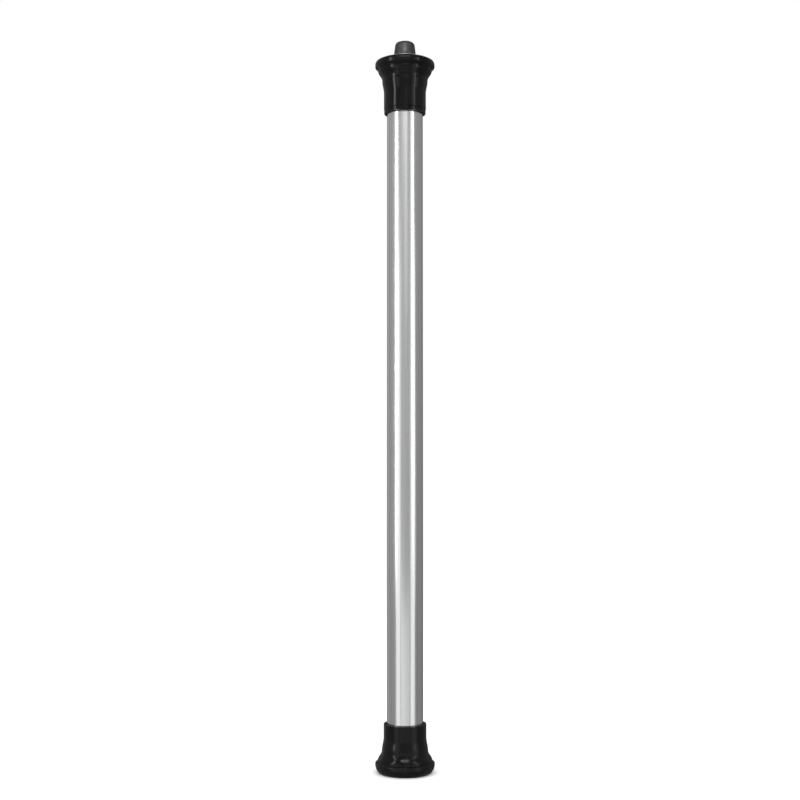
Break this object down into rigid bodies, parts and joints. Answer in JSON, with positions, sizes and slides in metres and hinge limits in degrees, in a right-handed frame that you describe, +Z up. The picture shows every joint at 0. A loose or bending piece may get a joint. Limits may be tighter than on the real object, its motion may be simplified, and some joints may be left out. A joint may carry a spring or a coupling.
{
  "type": "barber pole light",
  "caption": "Slim upright barber pole light: silvered tube between glossy black bell caps, turning striped drum and LED mast inside, push button on top, ring foot.",
  "frame": {"origin": "on the pole's axis, on the floor under the foot pad", "axes": "+Z up along the pole's axis; +Y towards the power inlet at the back; -Y is the front"},
  "size_m": [0.0832, 0.0832, 1.015],
  "materials": {
    "black_gloss": "high gloss moulded",
    "black_cast": "gloss black enamel",
    "black_rubber": "matt",
    "button_rubber": "soft touch",
    "satin_steel": "satin",
    "silvered_tube": "half-silvered, fine lengthwise lines",
    "zinc_steel": "zinc plated",
    "bearing_steel": "polished",
    "motor_steel": "nickel plated",
    "brass": "machined",
    "aluminium": "extruded, clear anodised",
    "stud_steel": "turned",
    "white_plastic": "moulded",
    "drum_white": "translucent opal",
    "stripe_print": "printed helical red, white and blue stripes",
    "dark_plastic": "moulded",
    "circuit_board": "solder mask",
    "strip_white": "solder mask",
    "led": "phosphor resin",
    "cable_grey": "sheathed",
    "lead_wire": "insulated"
  },
  "bodies": {
    "pole": {"foot_pad": "black_rubber", "base_plate": "zinc_steel", "base_screws": "zinc_steel", "foot_ring": "black_cast", "lower_cap": "black_gloss", "power_inlet": "dark_plastic", "inlet_nut": "zinc_steel", "driver_board": "circuit_board", "board_parts": "dark_plastic", "board_connectors": "white_plastic", "board_bracket": "dark_plastic", "bracket_screws": "zinc_steel", "motor_can": "motor_steel", "motor_gearbox": "brass", "motor_bracket": "dark_plastic", "lower_bearing_inner": "bearing_steel", "upper_bearing_inner": "bearing_steel", "bearing_balls": "bearing_steel", "mast_socket": "aluminium", "socket_screws": "zinc_steel", "mast": "aluminium", "mast_stud": "stud_steel", "led_strips": "strip_white", "led_chips": "led", "mast_cable": "cable_grey", "led_leads": "lead_wire", "power_leads": "lead_wire", "motor_leads": "lead_wire", "outer_tube": "silvered_tube", "lower_gasket": "black_rubber", "upper_gasket": "black_rubber", "bulkhead": "white_plastic", "mast_washer": "zinc_steel", "mast_nut": "zinc_steel", "upper_cap": "black_gloss", "cap_screws": "zinc_steel", "top_lid": "black_gloss", "button_bezel": "satin_steel", "switch_body": "dark_plastic", "switch_board": "circuit_board", "switch_board_screws": "zinc_steel"},
    "drum": {"drum_gear": "white_plastic", "gear_screws": "zinc_steel", "lower_hub": "white_plastic", "upper_hub": "white_plastic", "drum_tube": "drum_white", "stripe_film": "stripe_print", "lower_bearing_outer": "bearing_steel", "upper_bearing_outer": "bearing_steel"},
    "pinion": {"motor_shaft": "bearing_steel", "pinion": "brass"},
    "button": {"button_cap": "button_rubber", "button_core": "dark_plastic", "switch_plunger": "white_plastic", "button_spring": "bearing_steel"}
  },
  "joints": [
    {"name": "drum_spin", "type": "hinge", "parent": "pole", "child": "drum", "pos_m": [0, 0, 0.5], "axis": [0, 0, 1], "continuous": true},
    {"name": "pinion_spin", "type": "hinge", "parent": "pole", "child": "pinion", "pos_m": [0.0192, 0, 0.038], "axis": [0, 0, 1], "continuous": true},
    {"name": "button_press", "type": "slide", "parent": "pole", "child": "button", "axis": [0, 0, -1], "range_m": [0, 0.003], "stiffness_N_per_m": 400, "springref_m": -0.003, "deforming": ["button_spring"]}
  ],
  "couplings": [
    {"joint": "pinion_spin", "follows": "drum_spin", "ratio": -3}
  ]
}
